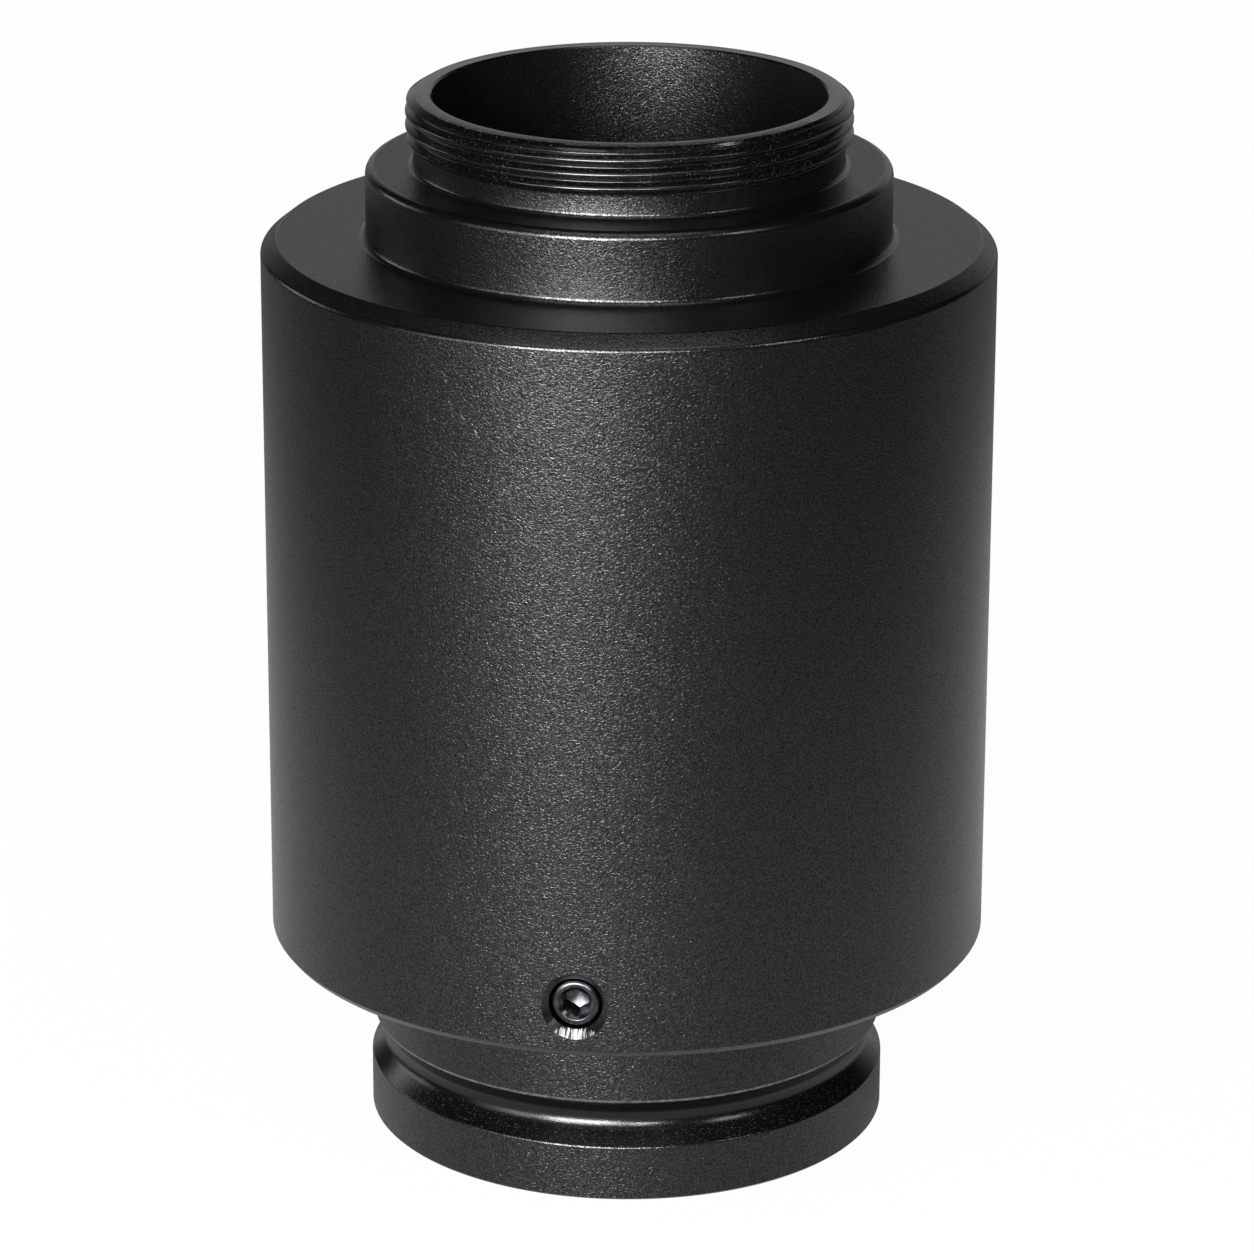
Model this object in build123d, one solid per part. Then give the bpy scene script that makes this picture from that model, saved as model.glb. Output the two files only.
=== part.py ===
from build123d import *
import os
from math import ceil, copysign, cos, radians, sin, sqrt, tan

os.makedirs("parts", exist_ok=True)

# Lengths are in millimetres. The optical axis is Z, the underside of the foot is at zero,
# and the front set screw points towards -Y.

# Overrun of every cut past the face that it leaves through.
overrun = 1.0

# Camera thread on the nose: one inch across, 32 turns to the inch, right-hand.
thread_diameter = 25.4
thread_pitch = 0.79375
thread_depth = 0.42
thread_mouth_width = 0.46
thread_root_width = 0.12
thread_run_out = 0.45
thread_start_degrees = 40
nose_height = 4.1
thread_edge_break = 0.07
rim_chamfer_width = 0.575
rim_chamfer_height = 0.34
relief_depth = 0.45
relief_height = 1.28
relief_fillet = 0.5
nose_wall = 1.03

# Collar that the camera's face comes to rest on.
shoulder_width = 2.3
collar_height = 4.15
collar_edge_rounding = 0.36
collar_fillet = 0.4

# Barrel: its wall is measured where the foot's tube slides in it.
barrel_wall = 5.91
barrel_height = 42.0
top_chamfer_width = 0.72
top_chamfer_height = 0.77
bottom_chamfer = 0.4
edge_rounding = 0.12

# Bores of the barrel, from the camera end down.
light_bore_break = 0.1
cell_shoulder_width = 1.78
cell_bore_depth = 18.5
tube_bore_lead_in = 0.4

# Foot: bottom flange, clamping groove and the tube that slides in the barrel.
flange_overhang = 0.15
flange_height = 3.3
flange_bottom_chamfer = 0.15
groove_height = 2.8
groove_rounding = 1.05
neck_reveal = 5.35
foot_tube_diameter = 30.1
foot_tube_chamfer = 0.5
foot_wall = 3.05
foot_bore_break = 0.3
tube_engagement = 16.0
tube_clearance = 0.04

# Travel of the barrel on the foot, with the gap left above the tube at its lowest.
parfocal_travel_down = 4.0
tube_end_gap = 0.5

# Rings cut in the foot's bore against stray light.
light_trap_pitch = 1.0
light_trap_depth = 0.35
light_trap_margin = 2.0

# Knife edged baffle in the top of the foot's tube, and the ring that holds it.
baffle_seat_step = 1.1
baffle_overhang = 2.5
baffle_thickness = 0.8
baffle_edge_thickness = 0.15
baffle_bevel_width = 1.0
baffle_ring_width = 1.6
baffle_ring_thickness = 1.5
baffle_ring_recess = 0.3

# O-ring in the barrel's gland.
seal_section_diameter = 1.5
seal_clearance = 0.06
gland_width = 2.0
gland_height_in_barrel = 8.5

# Set screws, M3 with a 1.5 mm hexagon socket, and the brass pads in front of them.
screw_count = 3
screw_names = ("front", "right", "left")
screw_height_in_barrel = 3.05
screw_diameter = 3.0
screw_pitch = 0.5
screw_thread_depth = 0.26
screw_thread_mouth_width = 0.38
screw_thread_root_width = 0.08
screw_thread_edge_break = 0.03
screw_recess = 0.45
screw_end_chamfer = 0.21
screw_clearance = 0.03
socket_sides = 6
socket_across_flats = 1.5
socket_depth = 1.5
socket_cone_degrees = 30
socket_lead_in_diameter = 1.82
countersink_diameter = 3.84
pad_diameter = 2.44
pad_length = 1.43
pad_clearance = 0.03
pad_gap = 0.05
pad_edge_chamfer = 0.15

# Lens cell.
cell_length = 16.2
cell_wall = 1.95
cell_clearance = 0.05
cell_end_chamfer = 0.3
cell_bore_lead_in = 0.25
ledge_thickness = 1.2
ledge_width = 1.2
ledge_bevel_height = 0.9
lens_clearance = 0.05

# Lenses. The crowns are rounded on both faces, and the flints' outer faces are rounded outwards.
inner_face_radius = 40.0
cemented_face_radius = 24.0
outer_face_radius = 80.0
crown_edge_thickness = 0.85
flint_edge_thickness = 3.4
cement_gap = 0.02
seat_gap = 0.02

# Spacers with the aperture stop between them.
spacer_height = 1.6
stop_thickness = 0.3
stop_overhang = 2.3

# Slotted rings.
lens_ring_height = 1.5
lock_ring_height = 1.8
lock_ring_width = 2.45
ring_edge_chamfer = 0.2
spanner_slot_width = 1.6
spanner_slot_depth = 0.7

# Radii that the pieces share.
thread_radius = thread_diameter / 2
relief_radius = thread_radius - relief_depth
collar_radius = thread_radius + shoulder_width
light_bore_radius = relief_radius - nose_wall
cell_bore_radius = light_bore_radius + cell_shoulder_width
cell_radius = cell_bore_radius - cell_clearance
cell_inner_radius = cell_radius - cell_wall
ledge_bore_radius = cell_inner_radius - ledge_width
lens_radius = cell_inner_radius - lens_clearance
tube_radius = foot_tube_diameter / 2
tube_bore_radius = tube_radius + tube_clearance
barrel_radius = tube_bore_radius + barrel_wall
foot_bore_radius = tube_radius - foot_wall
baffle_seat_radius = foot_bore_radius + baffle_seat_step
baffle_radius = baffle_seat_radius - seat_gap

# Heights above the underside of the foot.
groove_top = flange_height + groove_height
barrel_bottom = groove_top + neck_reveal
barrel_top = barrel_bottom + barrel_height
collar_top = barrel_top + collar_height
nose_top = collar_top + nose_height
foot_top = barrel_bottom + tube_engagement
baffle_low = foot_top - baffle_thickness - baffle_ring_thickness - baffle_ring_recess
tube_bore_top = foot_top + parfocal_travel_down + tube_end_gap
cell_top = tube_bore_top + cell_bore_depth
cell_bottom = cell_top - cell_length
screw_height = barrel_bottom + screw_height_in_barrel
gland_height = barrel_bottom + gland_height_in_barrel

# Where a pad and its screw stand, out from the optical axis.
pad_tip_reach = tube_radius + pad_gap
screw_tip_reach = pad_tip_reach + pad_length + seat_gap
screw_length = barrel_radius - screw_recess - screw_tip_reach


def turned(corners):
    """Solid turned about the optical axis. Each corner is a radius, a height and its rounding."""
    points = [(reach, height) for reach, height, rounding in corners]
    roundings = [rounding for reach, height, rounding in corners]
    outline = FilletPolyline(*points, radius=roundings, close=True)
    return revolve(Plane.XZ * make_face(outline), Axis.Z)


def sharp(corners):
    """Corners without rounding."""
    return [(reach, height, 0) for reach, height in corners]


def groove_turn(crest_radius, pitch, depth, mouth_width, root_width, edge_break):
    """One right-hand turn of a thread's groove about Z, whose middle starts at height zero.

    The mouth is measured under the crests' broken edges, which lean out at 45 degrees.
    """
    outer_radius = crest_radius + edge_break
    break_radius = crest_radius - edge_break
    root_half = root_width / 2
    mouth_half = mouth_width / 2
    outer_half = mouth_half + outer_radius - break_radius
    section = [
        (crest_radius - depth, -root_half),
        (break_radius, -mouth_half),
        (outer_radius, -outer_half),
        (outer_radius, outer_half),
        (break_radius, mouth_half),
        (crest_radius - depth, root_half),
    ]
    rails = [
        Helix(pitch=pitch, height=pitch, radius=reach, center=(0, 0, offset)).edge()
        for reach, offset in section
    ]
    flanks = [
        Face.make_surface_from_curves(rail, rails[(corner + 1) % len(rails)])
        for corner, rail in enumerate(rails)
    ]
    ends = [make_face(Polyline(*[rail @ end for rail in rails], close=True)).face() for end in (0, 1)]
    return Solid(Shell(flanks + ends))


def threaded(shaft, turn, pitch, low, high):
    """Shaft with its thread cut turn by turn, from one height up past another."""
    for step in range(ceil((high - low) / pitch)):
        shaft -= Pos(0, 0, low + step * pitch) * Rot(0, 0, thread_start_degrees) * turn
    return shaft


def radial_frame(index, reach):
    """Frame at a set screw's height, pointing outwards at this reach from the optical axis."""
    turn = radians(index * 360 / screw_count)
    outward = Vector(sin(turn), -cos(turn), 0)
    tangent = Vector(cos(turn), sin(turn), 0)
    return Plane(origin=outward * reach + Vector(0, 0, screw_height), x_dir=tangent, z_dir=outward)


def spanner_slots(outer_radius, low, high):
    """Pair of slots across a ring, for a pin spanner."""
    bar = Box(2 * (outer_radius + overrun), spanner_slot_width, high - low)
    return Pos(0, 0, (low + high) / 2) * bar


def screw_hole(index):
    """Pilot hole, bore and countersink of one set screw, from the tube outwards."""
    pilot_radius = pad_diameter / 2 + pad_clearance
    bore_radius = screw_diameter / 2 + screw_clearance
    pilot_start = tube_bore_radius - overrun
    pilot_length = screw_tip_reach - pilot_start
    bore_length = barrel_radius + overrun - screw_tip_reach
    sink_radius = countersink_diameter / 2
    sink_depth = sink_radius - bore_radius
    pilot = radial_frame(index, pilot_start) * Cylinder(
        pilot_radius, pilot_length, align=(Align.CENTER, Align.CENTER, Align.MIN)
    )
    bore = radial_frame(index, screw_tip_reach) * Cylinder(
        bore_radius, bore_length, align=(Align.CENTER, Align.CENTER, Align.MIN)
    )
    sink = radial_frame(index, barrel_radius - sink_depth) * Cone(
        bore_radius,
        sink_radius + overrun,
        sink_depth + overrun,
        align=(Align.CENTER, Align.CENTER, Align.MIN),
    )
    return pilot + bore + sink


def main_barrel():
    """Threaded nose, collar and barrel turned in one, with a stepped bore and three screw holes."""
    gland_radius = tube_radius + seal_section_diameter + 2 * seal_clearance
    gland_low = gland_height - gland_width / 2
    gland_high = gland_height + gland_width / 2
    body = turned(
        [
            (tube_bore_radius + tube_bore_lead_in, barrel_bottom, 0),
            (barrel_radius - bottom_chamfer, barrel_bottom, edge_rounding),
            (barrel_radius, barrel_bottom + bottom_chamfer, edge_rounding),
            (barrel_radius, barrel_top - top_chamfer_height, edge_rounding),
            (barrel_radius - top_chamfer_width, barrel_top, edge_rounding),
            (collar_radius, barrel_top, collar_fillet),
            (collar_radius, collar_top, collar_edge_rounding),
            (relief_radius, collar_top, relief_fillet),
            (relief_radius, collar_top + relief_height, 0),
            (thread_radius, collar_top + relief_height + thread_radius - relief_radius, 0),
            (thread_radius, nose_top - rim_chamfer_height, 0),
            (thread_radius - rim_chamfer_width, nose_top, 0),
            (light_bore_radius + light_bore_break, nose_top, 0),
            (light_bore_radius, nose_top - light_bore_break, 0),
            (light_bore_radius, cell_top, 0),
            (cell_bore_radius, cell_top, 0),
            (cell_bore_radius, tube_bore_top, 0),
            (tube_bore_radius, tube_bore_top, 0),
            (tube_bore_radius, gland_high, 0),
            (gland_radius, gland_high, 0),
            (gland_radius, gland_low, 0),
            (tube_bore_radius, gland_low, 0),
            (tube_bore_radius, barrel_bottom + tube_bore_lead_in, 0),
        ]
    )
    turn = groove_turn(
        thread_radius,
        thread_pitch,
        thread_depth,
        thread_mouth_width,
        thread_root_width,
        thread_edge_break,
    )
    first_turn = collar_top + relief_height - thread_run_out
    body = threaded(body, turn, thread_pitch, first_turn, nose_top + thread_pitch / 2)
    for index in range(screw_count):
        body -= screw_hole(index)
    return body


def light_trap():
    """Corners of the rings cut in the foot's bore, from the top down."""
    low = light_trap_margin
    high = baffle_low - light_trap_margin
    count = int((high - low) / light_trap_pitch)
    corners = []
    for ring in range(count):
        start = high - ring * light_trap_pitch
        corners.append((foot_bore_radius, start, 0))
        corners.append((foot_bore_radius + light_trap_depth, start - light_trap_depth, 0))
        corners.append((foot_bore_radius, start - 2 * light_trap_depth, 0))
    return corners


def dovetail_foot():
    """Flange, groove with two 45 degree flanks, and the ringed tube that slides in the barrel."""
    flange_radius = tube_radius + flange_overhang
    apex_radius = (flange_radius + tube_radius - groove_height) / 2
    apex_height = flange_height + flange_radius - apex_radius
    outside = [
        (foot_bore_radius + foot_bore_break, 0, 0),
        (flange_radius - flange_bottom_chamfer, 0, 0),
        (flange_radius, flange_bottom_chamfer, 0),
        (flange_radius, flange_height, edge_rounding),
        (apex_radius, apex_height, groove_rounding),
        (tube_radius, groove_top, edge_rounding),
        (tube_radius, foot_top - foot_tube_chamfer, 0),
        (tube_radius - foot_tube_chamfer, foot_top, 0),
        (baffle_seat_radius, foot_top, 0),
        (baffle_seat_radius, baffle_low, 0),
        (foot_bore_radius, baffle_low, 0),
    ]
    return turned(outside + light_trap() + [(foot_bore_radius, foot_bore_break, 0)])


def baffle():
    """Thin disc whose aperture is bevelled from below to a knife edge."""
    aperture = foot_bore_radius - baffle_overhang
    high = baffle_low + baffle_thickness
    return turned(
        sharp(
            [
                (aperture + baffle_bevel_width, baffle_low),
                (baffle_radius, baffle_low),
                (baffle_radius, high),
                (aperture, high),
                (aperture, high - baffle_edge_thickness),
            ]
        )
    )


def slotted_ring(outer_radius, inner_radius, low, high, slots_up):
    """Flat ring with chamfered outer edges, and slots across one face for a spanner."""
    ring = turned(
        sharp(
            [
                (inner_radius, low),
                (outer_radius - ring_edge_chamfer, low),
                (outer_radius, low + ring_edge_chamfer),
                (outer_radius, high - ring_edge_chamfer),
                (outer_radius - ring_edge_chamfer, high),
                (inner_radius, high),
            ]
        )
    )
    if slots_up:
        return ring - spanner_slots(outer_radius, high - spanner_slot_depth, high + overrun)
    return ring - spanner_slots(outer_radius, low - overrun, low + spanner_slot_depth)


def baffle_ring():
    """Ring that holds the baffle down in the foot's tube."""
    low = baffle_low + baffle_thickness
    return slotted_ring(
        baffle_radius,
        baffle_radius - baffle_ring_width,
        low,
        low + baffle_ring_thickness,
        slots_up=True,
    )


def tube_seal():
    """O-ring round the foot's tube."""
    centre_reach = tube_radius + seal_clearance + seal_section_diameter / 2
    return Pos(0, 0, gland_height) * Torus(centre_reach, seal_section_diameter / 2)


def set_screw(index):
    """Grub screw with its thread, end chamfers and hexagon socket, one corner of it downwards."""
    radius = screw_diameter / 2
    shank = turned(
        sharp(
            [
                (0, 0),
                (radius - screw_end_chamfer, 0),
                (radius, screw_end_chamfer),
                (radius, screw_length - screw_end_chamfer),
                (radius - screw_end_chamfer, screw_length),
                (0, screw_length),
            ]
        )
    )
    turn = groove_turn(
        radius,
        screw_pitch,
        screw_thread_depth,
        screw_thread_mouth_width,
        screw_thread_root_width,
        screw_thread_edge_break,
    )
    shank = threaded(shank, turn, screw_pitch, -screw_pitch, screw_length + screw_pitch / 2)
    flat_radius = socket_across_flats / 2
    hexagon = RegularPolygon(
        flat_radius, socket_sides, major_radius=False, rotation=180 / socket_sides
    )
    socket_bottom = screw_length - socket_depth
    shank -= Pos(0, 0, socket_bottom) * extrude(hexagon, amount=socket_depth + overrun)
    cone_height = flat_radius * tan(radians(socket_cone_degrees))
    shank -= Pos(0, 0, socket_bottom) * Cone(
        0,
        flat_radius,
        cone_height,
        align=(Align.CENTER, Align.CENTER, Align.MAX),
    )
    lead_in_depth = socket_lead_in_diameter / 2 - flat_radius
    shank -= Pos(0, 0, screw_length - lead_in_depth) * Cone(
        flat_radius,
        flat_radius + lead_in_depth + overrun,
        lead_in_depth + overrun,
        align=(Align.CENTER, Align.CENTER, Align.MIN),
    )
    return radial_frame(index, screw_tip_reach) * shank


def locking_pad(index):
    """Brass slug that the set screw presses on the tube."""
    slug = turned(
        sharp(
            [
                (0, 0),
                (pad_diameter / 2 - pad_edge_chamfer, 0),
                (pad_diameter / 2, pad_edge_chamfer),
                (pad_diameter / 2, pad_length),
                (0, pad_length),
            ]
        )
    )
    return radial_frame(index, pad_tip_reach) * slug


def lens_cell():
    """Tube with a ledge at its top, bevelled outwards, and spanner slots in its lower rim."""
    cell = turned(
        sharp(
            [
                (cell_inner_radius + cell_bore_lead_in, cell_bottom),
                (cell_radius - cell_end_chamfer, cell_bottom),
                (cell_radius, cell_bottom + cell_end_chamfer),
                (cell_radius, cell_top - cell_end_chamfer),
                (cell_radius - cell_end_chamfer, cell_top),
                (ledge_bore_radius + ledge_bevel_height, cell_top),
                (ledge_bore_radius, cell_top - ledge_bevel_height),
                (ledge_bore_radius, cell_top - ledge_thickness),
                (cell_inner_radius, cell_top - ledge_thickness),
                (cell_inner_radius, cell_bottom + cell_bore_lead_in),
            ]
        )
    )
    return cell - spanner_slots(cell_radius, cell_bottom - overrun, cell_bottom + spanner_slot_depth)


def face_rise(face_radius, reach):
    """How far a lens face stands above the height of its edge, at this reach from the axis."""
    size = abs(face_radius)
    at_edge = size - sqrt(size**2 - lens_radius**2)
    at_reach = size - sqrt(size**2 - reach**2)
    return copysign(at_edge - at_reach, face_radius)


def lens(lower_edge, lower_radius, upper_edge, upper_radius):
    """Lens between two spherical faces. A positive radius is crowned upwards."""
    middle = lens_radius / 2
    lower = ThreePointArc(
        (0, lower_edge + face_rise(lower_radius, 0)),
        (middle, lower_edge + face_rise(lower_radius, middle)),
        (lens_radius, lower_edge),
    )
    upper = ThreePointArc(
        (0, upper_edge + face_rise(upper_radius, 0)),
        (middle, upper_edge + face_rise(upper_radius, middle)),
        (lens_radius, upper_edge),
    )
    rim = Line(lower @ 1, upper @ 1)
    axis_line = Line(lower @ 0, upper @ 0)
    return revolve(Plane.XZ * make_face([lower, rim, upper, axis_line]), Axis.Z)


def spacer(low):
    """Plain ring between an achromat and the aperture stop."""
    high = low + spacer_height
    return turned(
        sharp(
            [
                (ledge_bore_radius, low),
                (lens_radius, low),
                (lens_radius, high),
                (ledge_bore_radius, high),
            ]
        )
    )


def aperture_stop(low):
    """Thin disc whose hole sets the width of the beam."""
    aperture = ledge_bore_radius - stop_overhang
    high = low + stop_thickness
    return turned(sharp([(aperture, low), (lens_radius, low), (lens_radius, high), (aperture, high)]))


def lens_stack():
    """Everything between the cell's ledge and its retaining ring, worked out from the top down."""
    outer_seat_drop = face_rise(outer_face_radius, ledge_bore_radius)
    inner_seat_drop = face_rise(inner_face_radius, ledge_bore_radius)
    pieces = {}

    rear_flint_top = cell_top - ledge_thickness - seat_gap - outer_seat_drop
    rear_flint_low = rear_flint_top - flint_edge_thickness
    pieces["rear_flint_lens"] = lens(
        rear_flint_low, cemented_face_radius, rear_flint_top, outer_face_radius
    )
    rear_crown_top = rear_flint_low - cement_gap
    rear_crown_low = rear_crown_top - crown_edge_thickness
    pieces["rear_crown_lens"] = lens(
        rear_crown_low, -inner_face_radius, rear_crown_top, cemented_face_radius
    )

    rear_spacer_low = rear_crown_low - inner_seat_drop - seat_gap - spacer_height
    pieces["rear_spacer"] = spacer(rear_spacer_low)
    stop_low = rear_spacer_low - stop_thickness
    pieces["aperture_stop"] = aperture_stop(stop_low)
    front_spacer_low = stop_low - spacer_height
    pieces["front_spacer"] = spacer(front_spacer_low)

    front_crown_top = front_spacer_low - seat_gap - inner_seat_drop
    front_crown_low = front_crown_top - crown_edge_thickness
    pieces["front_crown_lens"] = lens(
        front_crown_low, -cemented_face_radius, front_crown_top, inner_face_radius
    )
    front_flint_top = front_crown_low - cement_gap
    front_flint_low = front_flint_top - flint_edge_thickness
    pieces["front_flint_lens"] = lens(
        front_flint_low, -outer_face_radius, front_flint_top, -cemented_face_radius
    )

    ring_top = front_flint_low - outer_seat_drop - seat_gap
    pieces["lens_retaining_ring"] = slotted_ring(
        cell_inner_radius - seat_gap,
        ledge_bore_radius,
        ring_top - lens_ring_height,
        ring_top,
        slots_up=False,
    )
    return pieces


def cell_lock_ring():
    """Ring screwed up against the lens cell."""
    high = cell_bottom - seat_gap
    return slotted_ring(
        cell_radius,
        cell_radius - lock_ring_width,
        high - lock_ring_height,
        high,
        slots_up=False,
    )


nodes = {
    "main_barrel": main_barrel(),
    "dovetail_foot": dovetail_foot(),
    "foot_baffle": baffle(),
    "foot_baffle_ring": baffle_ring(),
    "tube_seal_ring": tube_seal(),
    "lens_cell": lens_cell(),
    "cell_lock_ring": cell_lock_ring(),
}
nodes.update(lens_stack())
for index, name in enumerate(screw_names):
    nodes[f"set_screw_{name}"] = set_screw(index)
    nodes[f"locking_pad_{name}"] = locking_pad(index)

for name, solid in nodes.items():
    solid.label = name
    export_step(solid, f"parts/{name}.step")
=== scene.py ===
from math import atan2, cos, hypot, pi, radians, sin, tan

import bmesh
import bpy
from mathutils import Matrix, Vector


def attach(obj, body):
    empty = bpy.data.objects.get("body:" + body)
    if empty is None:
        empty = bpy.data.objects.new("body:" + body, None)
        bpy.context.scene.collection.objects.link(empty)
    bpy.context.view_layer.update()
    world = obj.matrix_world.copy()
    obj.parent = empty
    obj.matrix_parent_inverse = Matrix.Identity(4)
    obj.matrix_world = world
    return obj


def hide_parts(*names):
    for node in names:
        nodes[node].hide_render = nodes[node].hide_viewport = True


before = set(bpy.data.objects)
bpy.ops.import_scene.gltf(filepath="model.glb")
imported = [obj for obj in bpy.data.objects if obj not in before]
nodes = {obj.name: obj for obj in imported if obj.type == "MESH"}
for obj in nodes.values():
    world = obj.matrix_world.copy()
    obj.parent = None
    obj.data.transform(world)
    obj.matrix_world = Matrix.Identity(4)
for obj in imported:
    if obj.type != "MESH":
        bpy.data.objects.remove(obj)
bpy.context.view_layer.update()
mm = 0.001


# Dovetail foot: the flange and groove drop into the microscope's photo tube, and the tube above
# them telescopes in the barrel. Turned from one bar of aluminium, then sprayed with a textured
# black coat. The clamping groove is left in polished black anodising.

flange_radius = 15.2
flange_height = 3.3
flange_chamfer = 0.15
flange_chamfer_rounding = 0.05
flange_edge_rounding = 0.2
groove_top = 6.1
groove_rounding = 1.05
tube_radius = 15.05
tube_edge_rounding = 0.25
foot_top = 27.45
foot_top_chamfer = 0.5
foot_bottom_chamfer = 0.3
baffle_seat_radius = 13.1
baffle_seat_height = 24.85
foot_bore_radius = 12.0
trap_depth = 0.35
trap_top = 22.85
trap_count = 20

coat_colour = (0.0014, 0.0014, 0.0015, 1)
coat_ridge_colour = (0.0028, 0.0028, 0.003, 1)
anodised_colour = (0.0014, 0.0014, 0.0015, 1)
worn_edge_colour = (0.17, 0.17, 0.175, 1)


def wire(bm, corners, closed, segments=5):
    """Line through corners of radius, height and rounding, all in millimetres."""
    points = [Vector((reach, 0, height)) for reach, height, rounding in corners]
    verts = [bm.verts.new(point * mm) for point in points]
    for before, after in zip(verts, verts[1:]):
        bm.edges.new((before, after))
    if closed:
        bm.edges.new((verts[-1], verts[0]))
    for index, (reach, height, rounding) in enumerate(corners):
        if rounding:
            back = points[index - 1] - points[index]
            ahead = points[(index + 1) % len(points)] - points[index]
            setback = rounding * tan((pi - back.angle(ahead)) / 2)
            bmesh.ops.bevel(
                bm,
                geom=[verts[index]],
                offset=setback * mm,
                offset_type="OFFSET",
                segments=segments,
                profile=0.5,
                affect="VERTICES",
                material=-1,
            )


def spun(bm, steps):
    """Whatever the bmesh holds, turned once about Z and closed."""
    bmesh.ops.spin(
        bm,
        geom=bm.verts[:] + bm.edges[:],
        cent=(0, 0, 0),
        axis=(0, 0, 1),
        angle=2 * pi,
        steps=steps,
        use_merge=True,
    )
    bmesh.ops.remove_doubles(bm, verts=bm.verts, dist=0.0002 * mm)


def reach_of(point):
    """Distance from the optical axis in millimetres."""
    return hypot(point.x, point.y) / mm


def mounted(bm, name, body, materials, replaced):
    """Piece made of this bmesh, with crisp edges kept crisp, riding on a body."""
    bmesh.ops.recalc_face_normals(bm, faces=bm.faces)
    for face in bm.faces:
        face.smooth = True
    for edge in bm.edges:
        edge.smooth = len(edge.link_faces) != 2 or edge.calc_face_angle() < radians(32)
    mesh = bpy.data.meshes.new(name)
    bm.to_mesh(mesh)
    bm.free()
    for material in materials:
        mesh.materials.append(material)
    piece = bpy.data.objects.new(name, mesh)
    bpy.context.scene.collection.objects.link(piece)
    weighted = piece.modifiers.new("weighted_normals", "WEIGHTED_NORMAL")
    weighted.keep_sharp = True
    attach(piece, body)
    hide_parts(*replaced)
    return piece


def node(tree, kind, **sockets):
    """Shader node with its sockets set by name, spaces written as underscores."""
    made = tree.nodes.new(kind)
    for name, value in sockets.items():
        made.inputs[name.replace("_", " ")].default_value = value
    return made


def maths(tree, operation, first, second=None):
    """Math node of a link and a number or another link."""
    made = tree.nodes.new("ShaderNodeMath")
    made.operation = operation
    for socket, value in zip(made.inputs, (first, second)):
        if isinstance(value, bpy.types.NodeSocket):
            tree.links.new(value, socket)
        elif value is not None:
            socket.default_value = value
    return made.outputs[0]


def band(tree, source, low, high):
    """Smooth mask that rises from 0 at low to 1 at high."""
    made = node(tree, "ShaderNodeMapRange", From_Min=low, From_Max=high)
    made.interpolation_type = "SMOOTHSTEP"
    tree.links.new(source, made.inputs["Value"])
    return made.outputs["Result"]


def mixed(tree, factor, first, second):
    """Colour that goes from the first to the second with a factor."""
    made = tree.nodes.new("ShaderNodeMix")
    made.data_type = "RGBA"
    sockets = (made.inputs[0], made.inputs[6], made.inputs[7])
    for socket, value in zip(sockets, (factor, first, second)):
        if isinstance(value, bpy.types.NodeSocket):
            tree.links.new(value, socket)
        else:
            socket.default_value = value
    return made.outputs[2]


def vector_maths(tree, operation, vector, *constants):
    """Vector math node of a link and constant vectors."""
    made = tree.nodes.new("ShaderNodeVectorMath")
    made.operation = operation
    tree.links.new(vector, made.inputs[0])
    for socket, value in zip(made.inputs[1:], constants):
        socket.default_value = value
    return made


def off_line(tree, place, across=0.0):
    """Distance from the optical axis, or from an upright line further back than it."""
    level = vector_maths(tree, "MULTIPLY_ADD", place, (1, 1, 0), (0, -across, 0))
    return vector_maths(tree, "LENGTH", level.outputs["Vector"]).outputs["Value"]


def split(tree, place):
    """X, Y and Z of a place, as the outputs of one node."""
    made = tree.nodes.new("ShaderNodeSeparateXYZ")
    tree.links.new(place, made.inputs[0])
    return made.outputs


def noise(tree, place, **sockets):
    """Noise from 0 to 1 at a place."""
    made = node(tree, "ShaderNodeTexNoise", **sockets)
    tree.links.new(place, made.inputs["Vector"])
    return made


def effect(name, inputs, outputs):
    """Empty shader node group with float sockets, and a vector one for the place."""
    group = bpy.data.node_groups.new(name, "ShaderNodeTree")
    group.interface.new_socket("Place", in_out="INPUT", socket_type="NodeSocketVector")
    for socket, value in inputs.items():
        made = group.interface.new_socket(socket, in_out="INPUT", socket_type="NodeSocketFloat")
        made.default_value = value
    for socket in outputs:
        group.interface.new_socket(socket, in_out="OUTPUT", socket_type="NodeSocketFloat")
    return group, group.nodes.new("NodeGroupInput"), group.nodes.new("NodeGroupOutput")


def leathery_grain():
    """Sprayed coat's wrinkles: short winding ridges with finer pores between them."""
    scales = {"Ridges": 5600.0, "Pores": 9000.0}
    group, given, result = effect("leathery_grain", scales, ["Height", "Ridge", "Pore"])
    lying = vector_maths(group, "MULTIPLY", given.outputs["Place"], (1.0, 1.0, 1.35))
    winding = noise(group, lying.outputs[0], Detail=1.0, Roughness=0.5, Distortion=0.5)
    group.links.new(given.outputs["Ridges"], winding.inputs["Scale"])
    pores = noise(group, given.outputs["Place"], Detail=1.0, Roughness=0.5)
    group.links.new(given.outputs["Pores"], pores.inputs["Scale"])
    apart = maths(group, "ABSOLUTE", maths(group, "SUBTRACT", winding.outputs["Fac"], 0.5))
    ridge = maths(group, "SUBTRACT", 1.0, maths(group, "MULTIPLY", apart, 4.0))
    height = maths(group, "ADD", ridge, maths(group, "MULTIPLY", pores.outputs["Fac"], 0.4))
    group.links.new(height, result.inputs["Height"])
    group.links.new(ridge, result.inputs["Ridge"])
    group.links.new(pores.outputs["Fac"], result.inputs["Pore"])
    return group


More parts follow.
